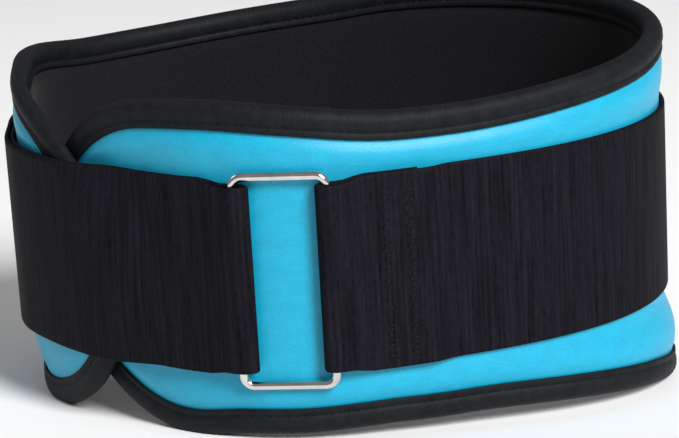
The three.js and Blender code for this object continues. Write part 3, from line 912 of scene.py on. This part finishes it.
class BELT_OT_studio(bpy.types.Operator):
    """Set out the pale floor, the soft lights and the camera"""

    bl_idname = "belt.studio"
    bl_label = "Studio"

    def execute(self, context):
        scene, sizes = context.scene, context.scene.belt_studio
        floor_mesh = bmesh.new()
        bmesh.ops.create_grid(floor_mesh, x_segments=1, y_segments=1, size=8)
        mesh = bpy.data.meshes.new("floor")
        floor_mesh.to_mesh(mesh)
        floor_mesh.free()
        material, tree, shader = new_material("pale_paper_sweep")
        shader.inputs["Base Color"].default_value = (*sizes.floor, 1)
        shader.inputs["Roughness"].default_value = 0.95
        mesh.materials.append(material)
        floor = bpy.data.objects.new("floor", mesh)
        scene.collection.objects.link(floor)

        room = bpy.data.worlds.new("pale_room")
        room.use_nodes = True
        background = room.node_tree.nodes["Background"]
        background.inputs[0].default_value = (1, 1, 1, 1)
        background.inputs[1].default_value = sizes.room
        scene.world = room

        def soft_light(name, azimuth, elevation, distance, size, power, tint):
            data = bpy.data.lights.new(name, "AREA")
            data.shape, data.size, data.energy = "DISK", size, power
            data.color = tint
            lamp = bpy.data.objects.new(name, data)
            turn, rise = math.radians(azimuth), math.radians(elevation)
            towards = Matrix.Rotation(turn, 4, "Z") @ Matrix.Rotation(math.pi / 2 - rise, 4, "X")
            aim, away = Matrix.Translation((0, 0, 0.08)), Matrix.Translation((0, 0, distance))
            lamp.matrix_world = aim @ towards @ away
            scene.collection.objects.link(lamp)

        soft_light("key_right_front", 43, 34, 9, 3.6, sizes.key, (1, 1, 1))
        soft_light("fill_left", -95, 42, 7, 3, sizes.fill, (0.97, 0.98, 1))
        scene.view_settings.view_transform = "Standard"

        # The camera stands in the leaning frame of the belt, so it leans with it.
        azimuth, elevation = math.radians(CAMERA_AZIMUTH), math.radians(CAMERA_ELEVATION)
        roll, level_share = math.radians(CAMERA_ROLL), math.cos(elevation)
        back = np.array([
            math.sin(azimuth) * level_share, -math.cos(azimuth) * level_share, math.sin(elevation)
        ])
        right = np.array([math.cos(azimuth), math.sin(azimuth), 0])
        up = np.cross(back, right)
        level = math.cos(roll) * right + math.sin(roll) * up
        upright = math.cos(roll) * up - math.sin(roll) * right
        stand_off = back * CAMERA_DISTANCE + level * CAMERA_ACROSS + upright * CAMERA_ABOVE
        place = (STAND @ stand_off + shift) * MM
        axes = [STAND @ v for v in (level, upright, back)]
        data = bpy.data.cameras.new("photo_angle")
        data.sensor_fit, data.sensor_width = "HORIZONTAL", SENSOR_WIDTH
        data.lens = CAMERA_FOCAL * SENSOR_WIDTH / IMAGE_WIDTH
        data.clip_start, data.clip_end = 0.02, 100
        camera = bpy.data.objects.new("photo_angle", data)
        rows = [[axes[0][k], axes[1][k], axes[2][k], place[k]] for k in range(3)]
        camera.matrix_world = Matrix(rows + [[0, 0, 0, 1]])
        scene.collection.objects.link(camera)
        scene.camera = camera
        return {"FINISHED"}


class BELT_PT_panel(bpy.types.Panel):
    """The belt's pieces and their sizes"""

    bl_label = "Weightlifting belt"
    bl_idname = "BELT_PT_panel"
    bl_space_type = "VIEW_3D"
    bl_region_type = "UI"
    bl_category = "Belt"

    def draw(self, context):
        for operator, group in OPERATOR_GROUPS:
            box = self.layout.box()
            box.operator(operator.bl_idname)
            settings = getattr(context.scene, group)
            for name in settings.bl_rna.properties.keys():
                if name not in ("rna_type", "name"):
                    box.prop(settings, name)


OPERATOR_GROUPS = (
    (BELT_OT_padded_band, "belt_band"),
    (BELT_OT_edge_binding, "belt_band"),
    (BELT_OT_webbing_strap, "belt_strap"),
    (BELT_OT_wire_ring, "belt_ring"),
    (BELT_OT_stitching, "belt_stitches"),
    (BELT_OT_studio, "belt_studio"),
)
SETTINGS = {
    "belt_band": BandSettings,
    "belt_strap": StrapSettings,
    "belt_ring": RingSettings,
    "belt_stitches": StitchSettings,
    "belt_studio": StudioSettings,
}


def register():
    for settings in SETTINGS.values():
        bpy.utils.register_class(settings)
    for name, settings in SETTINGS.items():
        setattr(bpy.types.Scene, name, PointerProperty(type=settings))
    for operator, _ in OPERATOR_GROUPS:
        bpy.utils.register_class(operator)
    bpy.utils.register_class(BELT_PT_panel)


def unregister():
    bpy.utils.unregister_class(BELT_PT_panel)
    for operator, _ in reversed(OPERATOR_GROUPS):
        bpy.utils.unregister_class(operator)
    for name in SETTINGS:
        delattr(bpy.types.Scene, name)
    for settings in reversed(list(SETTINGS.values())):
        bpy.utils.unregister_class(settings)


def set_down():
    """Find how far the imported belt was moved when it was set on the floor, from its ring."""
    global shift
    low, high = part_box("ring")
    shift = (np.array((low + high) / 2) - ring_frame(ring_layout(bpy.context.scene))[0]) / MM


def main():
    register()
    set_down()
    bpy.ops.belt.padded_band()
    bpy.ops.belt.edge_binding()
    bpy.ops.belt.webbing_strap()
    bpy.ops.belt.wire_ring()
    bpy.ops.belt.stitching()
    bpy.ops.belt.studio()


if __name__ == "__main__":
    main()
